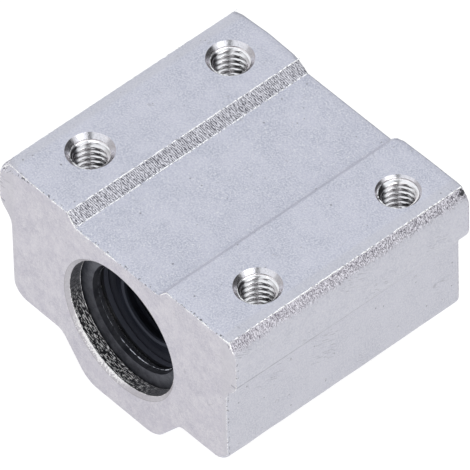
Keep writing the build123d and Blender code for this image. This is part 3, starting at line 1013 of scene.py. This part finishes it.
def dress_inner_parts(grain):
    """Gives each part of the bushing its finish, picked by a word in its name."""
    phosphate = (0.06, 0.064, 0.08), (0.15, 0.154, 0.176)
    finishes = {
        "circlip": grained("phosphated_steel", grain, *phosphate, 0.5, 0.8, 0.0001),
        "snap_ring": blackened_steel(grain),
        "seal_case": grained("case_steel", grain, (0.06, 0.066, 0.095), (0.085, 0.093, 0.125), 0.6, 0.3),
        "seal_lip": rubber(grain),
        "bearing_sleeve": grained("ground_steel", grain, (0.42, 0.42, 0.43), (0.52, 0.52, 0.53), 0.25),
        "ball_cage": grained("cage_plastic", grain, (0.048, 0.052, 0.072), (0.068, 0.074, 0.098), 0.6, 0.0),
        "balls": grained("ball_steel", grain, (0.62, 0.62, 0.63), (0.68, 0.68, 0.69), 0.08),
    }
    for name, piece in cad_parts.items():
        for word, finish in finishes.items():
            if word in name:
                piece.data.materials.clear()
                piece.data.materials.append(finish)
                shade(piece, 30.0)


def set_floor():
    """A pale floor that the camera sees as white, with a faint shadow under the block."""
    angle = full_turn(floor_corners)
    rim = np.stack([floor_reach * np.cos(angle), floor_reach * np.sin(angle), 0 * angle + boss_z - 0.02], -1)
    floor = make_piece("floor", rim, np.zeros((0, 4), int), [np.arange(floor_corners)])
    material = bpy.data.materials.new("pale_floor")
    material.use_nodes = True
    paint = Wiring(material.node_tree)
    plain = paint.node("BsdfDiffuse", {"Color": (0.8, 0.8, 0.8)})
    part = paint.node("BsdfDiffuse", {"Color": (0.25, 0.25, 0.25)})
    far_side = paint.node("SeparateXYZ", {0: paint.node("TexCoord").outputs["Object"]}).outputs["Y"]
    reflected = paint.ramp(far_side, 0.04, 0.15, 0.9, 0.1)
    path = paint.node("LightPath").outputs
    direct = paint.product(path["Is Camera Ray"], 0.9)
    strength = paint.maths("MAXIMUM", reflected, direct)
    glow = paint.node("Emission", {"Color": white, "Strength": strength})
    bright = paint.node("AddShader", {0: part.outputs[0], 1: glow.outputs[0]})
    seen = paint.maths("MAXIMUM", path["Is Camera Ray"], path["Is Glossy Ray"])
    seen = paint.maths("MAXIMUM", seen, path["Is Transmission Ray"])
    mixed = paint.node("MixShader", {0: seen, 1: plain.outputs[0], 2: bright.outputs[0]})
    paint.node("OutputMaterial", {"Surface": mixed.outputs[0]})
    floor.data.materials.append(material)


def set_world():
    """Soft even light all round, seen as white.

    Reflections see a room that is dark on its far side, dimmer between the lamps and low on the left.
    """
    world = bpy.data.worlds.new("studio")
    bpy.context.scene.world = world
    world.use_nodes = True
    room = Wiring(world.node_tree)
    path = room.node("LightPath").outputs
    heading = room.node("TexCoord").outputs["Generated"]
    far_side, beside, ahead, low_left = (
        room.node("VectorMath", {0: heading, 1: way}, operation="DOT_PRODUCT").outputs["Value"]
        for way in ((0.0, 1.0, 0.0), (0.653, 0.757, 0.0), (0.757, -0.653, 0.0), (-0.91, -0.4, 0.1))
    )
    off_middle = room.maths("MAXIMUM", room.maths("ABSOLUTE", beside), room.fade(ahead, -0.1, 0.1))
    reflected = room.product(
        room.ramp(far_side, 0.42, 0.62, 1.0, 0.05),
        room.ramp(off_middle, 0.07, 0.2, 0.25, 1.0),
        room.ramp(low_left, 0.74, 0.9, 1.0, 0.55),
    )
    either = room.maths("MAXIMUM", path["Is Glossy Ray"], path["Is Transmission Ray"])
    beyond_fill = room.product(either, room.maths("SUBTRACT", reflected, room_fill))
    strength = room.maths("MAXIMUM", room.maths("ADD", room_fill, beyond_fill), path["Is Camera Ray"])
    height = room.node("SeparateXYZ", {0: heading}).outputs["Z"]
    tint = room.blend(room.ramp(height, 0.0, 0.8), (1.0, 0.97, 0.97), (0.93, 0.97, 1.0))
    tint = room.blend(path["Is Camera Ray"], tint, white)
    glow = room.node("Background", {"Color": tint, "Strength": strength})
    room.node("OutputWorld", {"Surface": glow.outputs[0]})


def add_lamp(name, place, size, power, colour):
    """A square soft lamp at a place in millimetres, aimed at the block."""
    lamp = bpy.data.lights.new(name, "AREA")
    lamp.shape = "SQUARE"
    lamp.size = size * MM
    lamp.energy = power
    lamp.color = colour
    made = add_object(name, lamp)
    made.location = Vector(place) * MM
    made.rotation_euler = (-Vector(place)).to_track_quat("-Z", "Y").to_euler()
    return made


def set_lamps():
    """Soft lamps over, before and beside the block. The front one's reflection is left to the world."""
    add_lamp("top_lamp", (-150, 250, 600), 400, 0.72, (0.94, 0.955, 0.99))
    front = add_lamp("front_lamp", (-300, -700, 250), 800, 2.13, (1.0, 0.92, 0.91))
    front.visible_glossy = False
    add_lamp("side_lamp", (700, -100, 250), 600, 1.45, (1.0, 0.985, 0.96))


def set_camera():
    """A long lens at the photograph's angle: the picture is view_width wide at the target."""
    axes = (
        Matrix.Rotation(math.radians(view_azimuth), 4, "Z")
        @ Matrix.Rotation(math.radians(90 - view_elevation), 4, "X")
        @ Matrix.Rotation(math.radians(view_roll), 4, "Z")
    )
    place = Vector(view_target) + axes @ Vector((0.0, 0.0, view_distance))
    camera = bpy.data.cameras.new("camera")
    camera.lens = camera.sensor_width * view_distance / view_width
    camera.clip_start = 0.1
    camera.clip_end = 20.0
    made = add_object("camera", camera)
    made.matrix_world = Matrix.Translation(place * MM) @ axes
    bpy.context.scene.camera = made


def main():
    bpy.context.scene.view_settings.view_transform = "Standard"
    grain, marks = grain_group(), marks_group()
    make_housing(grain, marks)
    add_burrs(bare_burr(grain), painted_seal_highlight(grain))
    dress_inner_parts(grain)
    set_floor()
    set_world()
    set_lamps()
    set_camera()


main()
